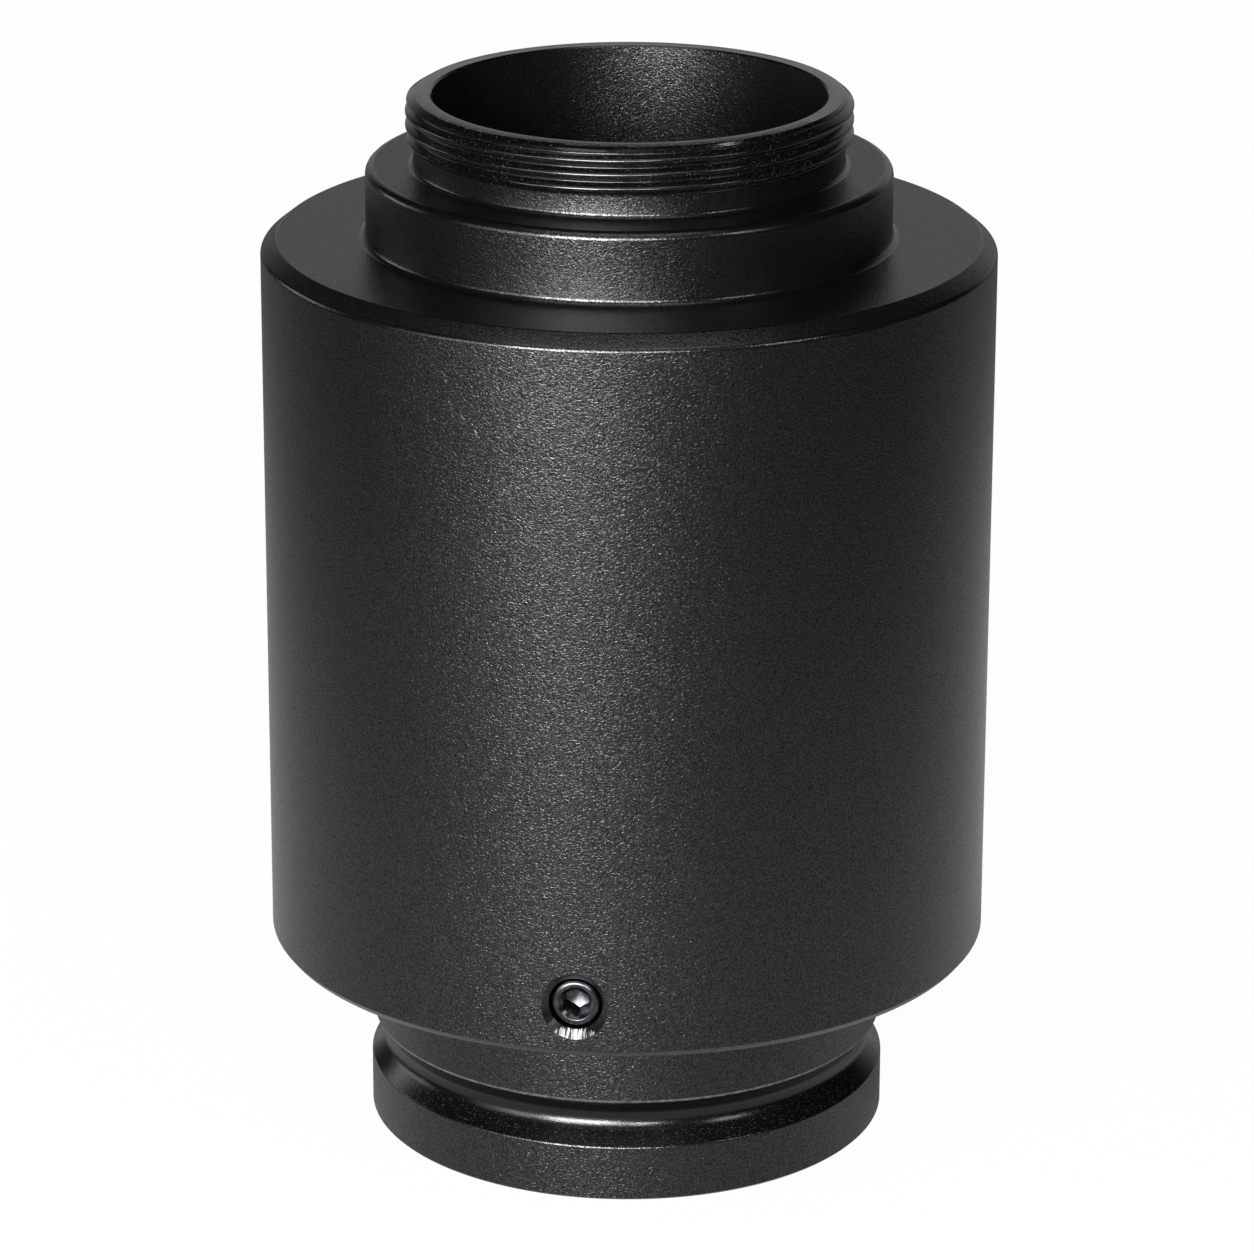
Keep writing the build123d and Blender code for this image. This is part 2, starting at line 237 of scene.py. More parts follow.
def lathe_lines():
    """Fine feed marks that a lathe tool leaves, as rings round the optical axis."""
    group, given, result = effect("lathe_lines", {"Feed": 0.00009}, ["Height", "Nick"])
    place = given.outputs["Place"]
    way = maths(group, "ADD", off_line(group, place), split(group, place)["Z"])
    along = maths(group, "DIVIDE", way, given.outputs["Feed"])
    wave = maths(group, "SINE", maths(group, "MULTIPLY", along, 2 * pi))
    uneven = noise(group, place, Scale=7000.0, Detail=2.0, Roughness=0.6)
    height = maths(group, "ADD", maths(group, "MULTIPLY", wave, 0.08), uneven.outputs["Fac"])
    specks = noise(group, place, Scale=9000.0, Detail=2.0, Roughness=0.6)
    group.links.new(height, result.inputs["Height"])
    group.links.new(band(group, specks.outputs["Fac"], 0.60, 0.70), result.inputs["Nick"])
    return group


grain_effect = leathery_grain()
lathe_effect = lathe_lines()


def started(name):
    """New material with its tree, its Principled BSDF and the object's coordinates."""
    material = bpy.data.materials.new(name)
    material.use_nodes = True
    tree = material.node_tree
    place = tree.nodes.new("ShaderNodeTexCoord").outputs["Object"]
    return material, tree, tree.nodes["Principled BSDF"], place


def with_effect(tree, group, place, **sockets):
    """Effect group placed in a material."""
    made = tree.nodes.new("ShaderNodeGroup")
    made.node_tree = group
    tree.links.new(place, made.inputs["Place"])
    for name, value in sockets.items():
        made.inputs[name].default_value = value
    return made


def bumped(tree, shader, height, strength, distance):
    """Height joined to a shader's normal."""
    bump = node(tree, "ShaderNodeBump", Strength=strength, Distance=distance)
    tree.links.new(height, bump.inputs["Height"])
    tree.links.new(bump.outputs["Normal"], shader.inputs["Normal"])


def sprayed_coat(name, smoothest, roughest, grain_height, sheen):
    """Sprayed and baked black coat with a leathery grain, duller in the grain's pores, its ridges
    painted a little lighter as a painted highlight.
    """
    material, tree, shader, place = started(name)
    grain = with_effect(tree, grain_effect, place)
    tone = noise(tree, place, Scale=160.0, Detail=3.0)
    # Painted highlight: the grain's ridges are painted a little lighter, by an amount that varies
    # with a random tone.
    on_ridge = band(tree, grain.outputs["Ridge"], 0.2, 1.0)
    ridge_highlight = maths(tree, "MULTIPLY", on_ridge, tone.outputs["Fac"])
    tree.links.new(mixed(tree, ridge_highlight, coat_colour, coat_ridge_colour), shader.inputs["Base Color"])
    rough = node(tree, "ShaderNodeMapRange", To_Min=smoothest, To_Max=roughest)
    tree.links.new(tone.outputs["Fac"], rough.inputs["Value"])
    tree.links.new(rough.outputs["Result"], shader.inputs["Roughness"])
    gloss = node(tree, "ShaderNodeMapRange", From_Min=0.32, From_Max=0.68)
    gloss.inputs["To Min"].default_value = 0.22 * sheen
    gloss.inputs["To Max"].default_value = 0.74 * sheen
    tree.links.new(grain.outputs["Pore"], gloss.inputs["Value"])
    tree.links.new(gloss.outputs["Result"], shader.inputs["Specular IOR Level"])
    bumped(tree, shader, grain.outputs["Height"], 1.0, grain_height)
    return material


def black_anodised(name, colour, wear, roughness):
    """Machined aluminium, black anodised: lathe lines and a few bright nicks."""
    material, tree, shader, place = started(name)
    lines = with_effect(tree, lathe_effect, place)
    nick = maths(tree, "MULTIPLY", lines.outputs["Nick"], wear)
    tree.links.new(mixed(tree, nick, colour, worn_edge_colour), shader.inputs["Base Color"])
    shader.inputs["Roughness"].default_value = roughness
    bumped(tree, shader, lines.outputs["Height"], 1.0, 0.000006)
    return material


def glossy_anodised():
    """Polished and anodised clamping groove, its lower flank pitted by the turning tool and specked
    with painted glints.
    """
    material, tree, shader, place = started("glossy_black_anodised")
    lines = with_effect(tree, lathe_effect, place, Feed=0.00016)
    flattened = vector_maths(tree, "MULTIPLY", place, (1.0, 1.0, 2.5))
    dots = noise(tree, flattened.outputs[0], Scale=6500.0, Detail=2.0, Roughness=0.6)
    above, below = (flange_height + 1.5) * mm, (flange_height + 0.7) * mm
    borne = band(tree, split(tree, place)["Z"], above, below)
    # Painted glints: specks on the lower flank are painted lighter, and their pits are bumped as
    # well.
    glint_speck = maths(tree, "MULTIPLY", band(tree, dots.outputs["Fac"], 0.58, 0.68), borne)
    nick = maths(tree, "MULTIPLY", glint_speck, 0.12)
    tree.links.new(mixed(tree, nick, anodised_colour, worn_edge_colour), shader.inputs["Base Color"])
    shader.inputs["Roughness"].default_value = 0.2
    shader.inputs["Specular IOR Level"].default_value = 0.4
    pitted = maths(tree, "MULTIPLY", dots.outputs["Fac"], borne)
    bumped(tree, shader, maths(tree, "ADD", pitted, lines.outputs["Height"]), 1.0, 0.000006)
    return material


def rubbed_coat():
    """Coat rubbed thin where the foot's socket slides past it."""
    material, tree, shader, place = started("black_coat_rubbed")
    wear = noise(tree, place, Scale=2600.0, Detail=3.0, Roughness=0.6)
    thin = band(tree, wear.outputs["Fac"], 0.1, 0.8)
    rubbed_colour = (0.07, 0.07, 0.072, 1)
    tree.links.new(mixed(tree, thin, coat_ridge_colour, rubbed_colour), shader.inputs["Base Color"])
    shader.inputs["Roughness"].default_value = 0.3
    return material


coat = sprayed_coat("black_textured_coat", 0.279, 0.299, 0.0000095, 1.0)
coat_on_edges = sprayed_coat("black_coat_thin_on_edges", 0.18, 0.24, 0.000004, 1.0)
anodised = black_anodised("black_anodised", anodised_colour, 0.2, 0.18)
glossy = glossy_anodised()
rubbed = rubbed_coat()

apex_radius = (flange_radius + tube_radius - groove_top + flange_height) / 2
foot_corners = [
    (foot_bore_radius + foot_bottom_chamfer, 0, 0),
    (flange_radius - flange_chamfer, 0, flange_chamfer_rounding),
    (flange_radius, flange_chamfer, flange_chamfer_rounding),
    (flange_radius, flange_height, flange_edge_rounding),
    (apex_radius, flange_height + flange_radius - apex_radius, groove_rounding),
    (tube_radius, groove_top, tube_edge_rounding),
    (tube_radius, foot_top - foot_top_chamfer, 0),
    (tube_radius - foot_top_chamfer, foot_top, 0),
    (baffle_seat_radius, foot_top, 0),
    (baffle_seat_radius, baffle_seat_height, 0),
    (foot_bore_radius, baffle_seat_height, 0),
]
for ring in range(trap_count):
    start = trap_top - ring
    foot_corners.append((foot_bore_radius, start, 0))
    foot_corners.append((foot_bore_radius + trap_depth, start - trap_depth, 0))
    foot_corners.append((foot_bore_radius, start - 2 * trap_depth, 0))
foot_corners.append((foot_bore_radius, foot_bottom_chamfer, 0))

foot = bmesh.new()
wire(foot, foot_corners, closed=True)
spun(foot, 256)
for face in foot.faces:
    middle = face.calc_center_median()
    height = middle.z / mm
    reach = reach_of(middle)
    if reach < foot_bore_radius + trap_depth or height > foot_top - 0.6:
        face.material_index = 1
    elif hypot(reach - flange_radius, height - flange_height) < 0.12:
        face.material_index = 3
    elif hypot(reach - tube_radius, height - groove_top) < 0.14:
        face.material_index = 4
    elif flange_height < height < groove_top - 0.02 and reach < flange_radius - 0.02:
        face.material_index = 2
foot_materials = [coat, anodised, glossy, coat_on_edges, rubbed]
mounted(foot, "foot", "foot", foot_materials, ["dovetail_foot"])


# Stray light baffle: a thin anodised disc with a knife edged hole, laid in the top of the foot's
# tube and held down by a slotted ring. Both are turned and keep their CAD shape.

def dressed(name, material):
    """CAD piece that keeps its shape and takes a material."""
    nodes[name].data.materials.clear()
    nodes[name].data.materials.append(material)


for name in ("foot_baffle", "foot_baffle_ring"):
    dressed(name, anodised)


# Barrel: camera thread, collar and body in one, turned from an aluminium bar with a stepped bore.
# The body and collar carry the textured coat, and the thread and its rim are bare anodising.
# Three holes for set screws are drilled and countersunk.

barrel_radius = 21.0
barrel_bottom = 11.45
barrel_top = 53.45
top_chamfer_width = 0.9
top_chamfer_height = 0.72
top_edge_rounding = 0.36
top_inner_rounding = 0.15
bottom_chamfer_width = 0.34
bottom_chamfer_height = 0.42
bottom_edge_rounding = 0.08
collar_radius = 15.0
collar_top = 57.6
collar_edge_rounding = 0.5
collar_fillet = 0.38
relief_radius = 12.25
relief_fillet = 0.3
relief_top = collar_top + 1.28
thread_radius = 12.7
thread_pitch = 0.79375
thread_groove = 57.548
nose_top = 61.7
rim_width = 0.575
rim_height = 0.34
rim_inner_chamfer = 0.1
light_bore_radius = 11.22
cell_bore_radius = 13.0
cell_top = 50.45
tube_bore_radius = 15.09
tube_bore_top = 31.95
bore_lead_in = 0.4
gland_radius = 16.67
gland_low = 18.95
gland_high = 20.95
barrel_steps = 288
screw_height = 14.5
wall_ring = screw_height + 3
screw_names = ("front", "right", "left")
hole_radius = 1.53
pilot_radius = 1.25
sink_radius = 1.99
cutter_overrun = 1.0
pilot_overrun = 1.5
pad_tip_reach = 15.1
screw_tip_reach = 16.55


def screw_thread(bm, section, pitch, steps, groove, low, high, limit):
    """Thread from a section of one pitch, clamped so that its ends close on two plain rings.

    The section runs from one groove to the next as corners for a wire, groove is the height of
    the lowest one on the X axis, and limit gives the largest radius at a height.
    """
    wire(bm, [(reach, groove + height, rounding) for reach, height, rounding in section], False, 3)
    bmesh.ops.spin(
        bm,
        geom=bm.verts[:] + bm.edges[:],
        cent=(0, 0, 0),
        axis=(0, 0, 1),
        dvec=(0, 0, pitch * mm / steps),
        angle=2 * pi,
        steps=steps,
    )
    first = bm.verts[:] + bm.edges[:] + bm.faces[:]
    turns = int((high - groove) / pitch) + 1
    for turn in range(1, turns):
        copied = bmesh.ops.duplicate(bm, geom=first)["geom"]
        bmesh.ops.translate(
            bm,
            vec=(0, 0, turn * pitch * mm),
            verts=[part for part in copied if isinstance(part, bmesh.types.BMVert)],
        )
    bmesh.ops.remove_doubles(bm, verts=bm.verts, dist=0.002 * mm)
    for vert in bm.verts:
        height = min(max(vert.co.z / mm, low), high)
        reach = reach_of(vert.co)
        kept = limit(height) if height in (low, high) else min(reach, limit(height))
        vert.co.x *= kept / reach
        vert.co.y *= kept / reach
        vert.co.z = height * mm
    bmesh.ops.remove_doubles(bm, verts=bm.verts, dist=0.002 * mm)
    bmesh.ops.dissolve_degenerate(bm, edges=bm.edges, dist=0.0005 * mm)


def nose_limit(height):
    """Largest radius of the nose's thread, between its relief and the chamfered rim."""
    from_relief = relief_radius + height - relief_top
    from_rim = thread_radius - rim_width * (height - nose_top + rim_height) / rim_height
    return min(thread_radius, from_relief, from_rim)


thread_section = [
    (12.28, 0, 0),
    (12.28, 0.06, 0.04),
    (12.63, 0.24, 0),
    (12.70, 0.31, 0.12),
    (12.70, thread_pitch - 0.31, 0.12),
    (12.63, thread_pitch - 0.24, 0),
    (12.28, thread_pitch - 0.06, 0.04),
    (12.28, thread_pitch, 0),
]
barrel = bmesh.new()
screw_thread(
    barrel,
    thread_section,
    thread_pitch,
    barrel_steps,
    thread_groove,
    relief_top,
    nose_top,
    nose_limit,
)

body_corners = [
    (relief_radius, relief_top, 0),
    (relief_radius, collar_top, relief_fillet),
    (collar_radius, collar_top, collar_edge_rounding),
    (collar_radius, barrel_top, collar_fillet),
    (barrel_radius - top_chamfer_width, barrel_top, top_inner_rounding),
    (barrel_radius, barrel_top - top_chamfer_height, top_edge_rounding),
    (barrel_radius, wall_ring, 0),
    (barrel_radius, barrel_bottom + bottom_chamfer_height, bottom_edge_rounding),
    (barrel_radius - bottom_chamfer_width, barrel_bottom, bottom_edge_rounding),
    (tube_bore_radius + bore_lead_in, barrel_bottom, 0),
    (tube_bore_radius, barrel_bottom + bore_lead_in, 0),
    (tube_bore_radius, gland_low, 0),
    (gland_radius, gland_low, 0),
    (gland_radius, gland_high, 0),
    (tube_bore_radius, gland_high, 0),
    (tube_bore_radius, tube_bore_top, 0),
    (cell_bore_radius, tube_bore_top, 0),
    (cell_bore_radius, cell_top, 0),
    (light_bore_radius, cell_top, 0),
    (light_bore_radius, nose_top - rim_inner_chamfer, 0),
    (light_bore_radius + rim_inner_chamfer, nose_top, 0),
    (thread_radius - rim_width, nose_top, 0),
]
# wall_ring is an edge round the wall that keeps the holes' cuts to its lower part.
body = bmesh.new()
wire(body, body_corners, closed=False)
spun(body, barrel_steps)
body_mesh = bpy.data.meshes.new("barrel_body")
body.to_mesh(body_mesh)
body.free()
barrel.from_mesh(body_mesh)
bpy.data.meshes.remove(body_mesh)
bmesh.ops.remove_doubles(barrel, verts=barrel.verts, dist=0.004 * mm)
bmesh.ops.recalc_face_normals(barrel, faces=barrel.faces)


def radial_place(index, reach):
    """Turns a piece made along Z so that it points out of the barrel at a set screw's place."""
    turn = radians(120 * index)
    outward = Vector((sin(turn), -cos(turn), 0))
    tangent = Vector((cos(turn), sin(turn), 0))
    axes = Matrix((tangent, outward.cross(tangent), outward)).transposed().to_4x4()
    return Matrix.Translation(outward * reach * mm + Vector((0, 0, screw_height * mm))) @ axes


def cut(bm, cutter, operation="DIFFERENCE"):
    """The bmesh with a cutter's space taken out of it, or only that space, by an exact Boolean."""
    meshes = []
    for part in (bm, cutter):
        bmesh.ops.recalc_face_normals(part, faces=part.faces)
        mesh = bpy.data.meshes.new("cutting")
        part.to_mesh(mesh)
        part.free()
        meshes.append(mesh)
    work, tool = [bpy.data.objects.new("cutting", mesh) for mesh in meshes]
    for thing in (work, tool):
        bpy.context.scene.collection.objects.link(thing)
    boolean = work.modifiers.new("cut", "BOOLEAN")
    boolean.operation = operation
    boolean.object = tool
    boolean.solver = "EXACT"
    bpy.context.view_layer.update()
    result = bmesh.new()
    result.from_object(work, bpy.context.evaluated_depsgraph_get())
    for thing in (work, tool):
        bpy.data.objects.remove(thing)
    for mesh in meshes:
        bpy.data.meshes.remove(mesh)
    bmesh.ops.remove_doubles(result, verts=result.verts, dist=0.0005 * mm)
    return result


def hole_cutter():
    """Pilot, bore and countersink of a set screw's hole. The countersink is fluted by chatter."""
    shallow = barrel_radius - (sink_radius - hole_radius)
    cutter = bmesh.new()
    wire(
        cutter,
        [
            (0, pad_tip_reach - pilot_overrun, 0),
            (pilot_radius, pad_tip_reach - pilot_overrun, 0),
            (pilot_radius, screw_tip_reach, 0),
            (hole_radius, screw_tip_reach, 0),
            (hole_radius, shallow, 0),
            (sink_radius + cutter_overrun, barrel_radius + cutter_overrun, 0),
            (0, barrel_radius + cutter_overrun, 0),
        ],
        closed=False,
    )
    spun(cutter, 112)
    for vert in cutter.verts:
        if reach_of(vert.co) > sink_radius:
            angle = atan2(vert.co.y, vert.co.x)
            flute = 1 + 0.010 * sin(37 * angle) + 0.008 * sin(23 * angle + 1) - 0.012
            vert.co.x *= flute
            vert.co.y *= flute
    mesh = bpy.data.meshes.new("hole")
    cutter.to_mesh(mesh)
    cutter.free()
    return mesh


hole_mesh = hole_cutter()
holes = bmesh.new()
for index in range(len(screw_names)):
    before = len(holes.verts)
    holes.from_mesh(hole_mesh)
    bmesh.ops.transform(holes, matrix=radial_place(index, 0), verts=holes.verts[before:])
bpy.data.meshes.remove(hole_mesh)
barrel = cut(barrel, holes)


def countersunk():
    """Blackened countersink streaked by the tool's chatter, its lower side painted as bright metal
    in streaks: a painted highlight.
    """
    material, tree, shader, place = started("countersink")
    apart = split(tree, place)
    turn = maths(tree, "ARCTAN2", apart["Y"], apart["X"])
    drawn = tree.nodes.new("ShaderNodeCombineXYZ")
    tree.links.new(maths(tree, "MULTIPLY", turn, barrel_radius * mm), drawn.inputs["X"])
    tree.links.new(maths(tree, "MULTIPLY", apart["Z"], 0.12), drawn.inputs["Z"])
    streaks = noise(tree, drawn.outputs[0], Scale=7500.0, Detail=3.0, Roughness=0.6)
    # Painted highlight: the lower a spot of the countersink lies, the more likely it is painted
    # bright metal.
    above, below = (screw_height - 1) * mm, (screw_height - 1.6) * mm
    lower = node(tree, "ShaderNodeMapRange", From_Min=above, From_Max=below)
    tree.links.new(apart["Z"], lower.inputs["Value"])
    uneven = maths(tree, "MULTIPLY", streaks.outputs["Fac"], 1.4)
    chatter_and_painted_highlight = maths(tree, "ADD", uneven, maths(tree, "MULTIPLY", lower.outputs["Result"], 0.7))
    bright = band(tree, chatter_and_painted_highlight, 1.28, 1.50)
    highlight_metal = (0.90, 0.90, 0.91, 1)
    tree.links.new(mixed(tree, bright, anodised_colour, highlight_metal), shader.inputs["Base Color"])
    tree.links.new(bright, shader.inputs["Metallic"])
    shader.inputs["Roughness"].default_value = 0.3
    bumped(tree, shader, streaks.outputs["Fac"], 1.0, 0.00001)
    return material


countersink = countersunk()
rim_colour = (0.022, 0.022, 0.023, 1)
anodised_rim = black_anodised("black_anodised_rim", rim_colour, 0.7, 0.22)
coat_on_collar = sprayed_coat("black_textured_coat_on_collar", 0.279, 0.299, 0.0000095, 0.72)
rounded_places = [
    (relief_radius, collar_top, 0.45),
    (collar_radius, collar_top, 0.53),
    (collar_radius, barrel_top, 0.45),
    (barrel_radius - top_chamfer_width, barrel_top, 0.3),
    (barrel_radius, barrel_top - top_chamfer_height, 0.3),
    (barrel_radius - bottom_chamfer_width / 2, barrel_bottom + bottom_chamfer_height / 2, 0.2),
]
for face in barrel.faces:
    middle = face.calc_center_median()
    height = middle.z / mm
    reach = reach_of(middle)
    if height > nose_top - 0.02 and reach > light_bore_radius + 0.05:
        face.material_index = 5
    elif height > relief_top - 0.02 and reach > light_bore_radius + 0.02:
        face.material_index = 1
    elif height < cell_top + 0.02 and reach < gland_radius + 0.1:
        face.material_index = 1
    elif any(hypot(reach - out, height - up) < near for out, up, near in rounded_places):
        face.material_index = 3
    elif light_bore_radius + 0.1 < reach < collar_radius + 0.05 and height > barrel_top:
        face.material_index = 4
    for index in range(len(screw_names)):
        local = radial_place(index, 0).inverted() @ middle
        off_axis = hypot(local.x, local.y) / mm
        if local.z > 0 and off_axis < sink_radius + 0.06 and abs(reach - barrel_radius) > 0.004:
            face.material_index = 2 if off_axis > hole_radius + 0.01 else 1
barrel_materials = [coat, anodised, countersink, coat_on_edges, coat_on_collar, anodised_rim]
mounted(barrel, "barrel", "barrel", barrel_materials, ["main_barrel"])


# Seal ring: a moulded rubber O-ring in the barrel's gland, squeezed lightly on the foot's tube.
# It keeps dust out of the slide and gives it its drag.

def seal_rubber():
    """Matt black rubber with a little dust."""
    material, tree, shader, place = started("seal_rubber")
    mottle = noise(tree, place, Scale=1400.0, Detail=4.0)
    dust = maths(tree, "MULTIPLY", band(tree, mottle.outputs["Fac"], 0.55, 0.8), 0.3)
    black, grey = (0.016, 0.016, 0.016, 1), (0.09, 0.085, 0.08, 1)
    tree.links.new(mixed(tree, dust, black, grey), shader.inputs["Base Color"])
    shader.inputs["Roughness"].default_value = 0.62
    bumped(tree, shader, mottle.outputs["Fac"], 0.4, 0.00001)
    return material


dressed("tube_seal_ring", seal_rubber())


# Lens cell and the rings in it: anodised aluminium, turned matt so that they don't glare into the
# camera. The lens retaining ring and the cell's lock ring are slotted for a pin spanner.

def matt_anodised():
    """Black anodising over a fine blasted and turned surface."""
    material, tree, shader, place = started("matt_black_anodised")
    lines = with_effect(tree, lathe_effect, place, Feed=0.00014)
    nick = maths(tree, "MULTIPLY", lines.outputs["Nick"], 0.15)
    tree.links.new(mixed(tree, nick, anodised_colour, worn_edge_colour), shader.inputs["Base Color"])
    shader.inputs["Roughness"].default_value = 0.55
    bumped(tree, shader, lines.outputs["Height"], 0.8, 0.000008)
    return material


matt = matt_anodised()
for name in (
    "lens_cell",
    "cell_lock_ring",
    "lens_retaining_ring",
    "rear_spacer",
    "aperture_stop",
    "front_spacer",
):
    dressed(name, matt)


# Lenses: two cemented achromats, each a crown and a flint. The faces are polished and coated
# against reflections, and the edges are ground and blackened.

def lens_glass(name, tint, index):
    """Optical glass with a faint coating tint, ground at its edge and dusty in places."""
    material, tree, shader, place = started(name)
    ground = band(tree, off_line(tree, place), 0.01091, 0.01094)
    tree.links.new(mixed(tree, ground, tint, (0.02, 0.02, 0.02, 1)), shader.inputs["Base Color"])
    specks = noise(tree, place, Scale=1500.0, Detail=2.0)
    dusty = maths(tree, "MULTIPLY", band(tree, specks.outputs["Fac"], 0.68, 0.74), 0.25)
    dull = maths(tree, "ADD", dusty, maths(tree, "MULTIPLY", ground, 0.6))
    tree.links.new(dull, shader.inputs["Roughness"])
    shader.inputs["Transmission Weight"].default_value = 1.0
    shader.inputs["IOR"].default_value = index
    return material


crown = lens_glass("crown_glass", (0.97, 0.99, 0.98, 1), 1.517)
flint = lens_glass("flint_glass", (0.93, 0.96, 0.99, 1), 1.648)
for name, glass in (
    ("rear_flint_lens", flint),
    ("rear_crown_lens", crown),
    ("front_crown_lens", crown),
    ("front_flint_lens", flint),
):
    dressed(name, glass)


# Locking pads: short brass slugs that the set screws push on the foot's tube, so that the steel
# doesn't score it. Turned from rod.

def pad_brass():
    """Brass, dulled here and there."""
    material, tree, shader, place = started("pad_brass")
    stain = noise(tree, place, Scale=1100.0, Detail=4.0)
    dull = band(tree, stain.outputs["Fac"], 0.4, 0.7)
    bright, brown = (0.72, 0.53, 0.24, 1), (0.42, 0.29, 0.13, 1)
    tree.links.new(mixed(tree, dull, bright, brown), shader.inputs["Base Color"])
    shader.inputs["Metallic"].default_value = 1.0
    shader.inputs["Roughness"].default_value = 0.32
    bumped(tree, shader, stain.outputs["Fac"], 0.4, 0.00001)
    return material


brass = pad_brass()
for name in screw_names:
    dressed(f"locking_pad_{name}", brass)


# Set screws: three M3 grub screws of steel with a hexagon socket, which lock the barrel on the
# foot's tube. They are cut, punched and blackened, and the oxide is a little worn in spots.

screw_radius = 1.5
screw_length = 4.0
screw_pitch = 0.5
screw_groove = -0.5556
screw_chamfer = 0.21
screw_head_radius = 1.42
screw_head_height = 0.35
screw_head_rounding = 0.3
screw_steps = 72
socket_flat = 0.75
socket_depth = 1.6
socket_cone = radians(15.5)
lead_in_radius = 1.0
lead_in_rounding = 0.06
lead_in_floor = screw_length - lead_in_radius + socket_flat - 0.02
punch_radius = 0.9
punch_tip_radius = 0.05
punch_overrun = 0.5
hexagon_overrun = 1.0
thread_end = screw_length - screw_head_height

screw_section = [
    (1.24, 0, 0),
    (1.24, 0.04, 0.03),
    (1.47, 0.19, 0),
    (1.50, 0.22, 0.02),
    (1.50, screw_pitch - 0.22, 0.02),
    (1.47, screw_pitch - 0.19, 0),
    (1.24, screw_pitch - 0.04, 0.03),
    (1.24, screw_pitch, 0),
]


def screw_limit(height):
    """Largest radius of the set screw's thread, chamfered at its tip and at its rounded end."""
    from_end = screw_head_radius + thread_end - height
    return min(screw_radius - max(0, screw_chamfer - height), from_end)


shank = bmesh.new()
screw_thread(
    shank,
    screw_section,
    screw_pitch,
    screw_steps,
    screw_groove,
    0,
    thread_end,
    screw_limit,
)
ends = bmesh.new()
wire(ends, [(screw_radius - screw_chamfer, 0, 0), (0, 0, 0)], closed=False)
wire(
    ends,
    [
        (0, lead_in_floor, 0),
        (socket_flat - 0.02, lead_in_floor, 0),
        (lead_in_radius, screw_length, lead_in_rounding),
        (screw_head_radius, screw_length, screw_head_rounding),
        (screw_head_radius, thread_end, 0),
    ],
    closed=False,
    segments=8,
)
spun(ends, screw_steps)
ends_mesh = bpy.data.meshes.new("screw_ends")
ends.to_mesh(ends_mesh)
ends.free()
shank.from_mesh(ends_mesh)
bpy.data.meshes.remove(ends_mesh)
bmesh.ops.remove_doubles(shank, verts=shank.verts, dist=0.002 * mm)

hexagon = bmesh.new()
hexagon_corner = socket_flat / cos(pi / 6) * mm
bmesh.ops.create_circle(hexagon, cap_ends=True, segments=6, radius=hexagon_corner)
far_end = bmesh.ops.extrude_face_region(hexagon, geom=hexagon.faces[:])["geom"]
bmesh.ops.translate(
    hexagon,
    vec=(0, 0, (socket_depth + 2 * hexagon_overrun) * mm),
    verts=[part for part in far_end if isinstance(part, bmesh.types.BMVert)],
)
hexagon_floor = (screw_length - socket_depth - hexagon_overrun) * mm
bmesh.ops.translate(hexagon, vec=(0, 0, hexagon_floor), verts=hexagon.verts)
punch_shoulder = screw_length - socket_depth
punch_tip = punch_shoulder - (punch_radius - punch_tip_radius) * tan(socket_cone)
punch = bmesh.new()
wire(
    punch,
    [
        (0, punch_tip, 0),
        (punch_tip_radius, punch_tip, 0),
        (punch_radius, punch_shoulder, 0),
        (punch_radius, screw_length + punch_overrun, 0),
        (0, screw_length + punch_overrun, 0),
    ],
    closed=False,
)
spun(punch, screw_steps)
shank = cut(shank, cut(hexagon, punch, "INTERSECT"))
shank_mesh = bpy.data.meshes.new("screw_shank")
shank.to_mesh(shank_mesh)
shank.free()


def black_oxide():
    """Steel blackened by an oxide bath, with the metal showing through in small spots."""
    material, tree, shader, place = started("black_oxide_steel")
    wear = noise(tree, place, Scale=1900.0, Detail=4.0, Roughness=0.6)
    spots = band(tree, wear.outputs["Fac"], 0.45, 0.75)
    oxide, steel = (0.055, 0.055, 0.058, 1), (0.12, 0.12, 0.125, 1)
    tree.links.new(mixed(tree, spots, oxide, steel), shader.inputs["Base Color"])
    shader.inputs["Metallic"].default_value = 1.0
    shader.inputs["Roughness"].default_value = 0.24
    bumped(tree, shader, wear.outputs["Fac"], 0.3, 0.000006)
    return material


oxide_steel = black_oxide()
for index, name in enumerate(screw_names):
    screw = bmesh.new()
    screw.from_mesh(shank_mesh)
    bmesh.ops.transform(screw, matrix=radial_place(index, screw_tip_reach), verts=screw.verts)
    mounted(
        screw,
        f"grub_screw_{name}",
        f"screw_{name}",
        [oxide_steel],
        [f"set_screw_{name}"],
    )
bpy.data.meshes.remove(shank_mesh)


# Studio: a white sheet of paper that the adapter stands on, which glows in reflections with painted
# light and a painted shadow, one large soft light by the camera, weak ones round about and overhead,
# and a long lens looking down by some 19 degrees.

scene = bpy.context.scene
scene.view_settings.view_transform = "Standard"

floor_mesh = bpy.data.meshes.new("floor")
sweep = bmesh.new()
bmesh.ops.create_grid(sweep, x_segments=1, y_segments=1, size=3.0)
bmesh.ops.translate(sweep, vec=(0, 0, -0.00002), verts=sweep.verts)
sweep.to_mesh(floor_mesh)
sweep.free()
floor = bpy.data.objects.new("floor", floor_mesh)
scene.collection.objects.link(floor)
paper = bpy.data.materials.new("white_paper")
paper.use_nodes = True
tree = paper.node_tree
shader = tree.nodes["Principled BSDF"]
shader.inputs["Base Color"].default_value = (0.80, 0.80, 0.80, 1)
shader.inputs["Roughness"].default_value = 0.9
shader.inputs["Specular IOR Level"].default_value = 0.0
path = tree.nodes.new("ShaderNodeLightPath")
place = tree.nodes.new("ShaderNodeTexCoord").outputs["Object"]
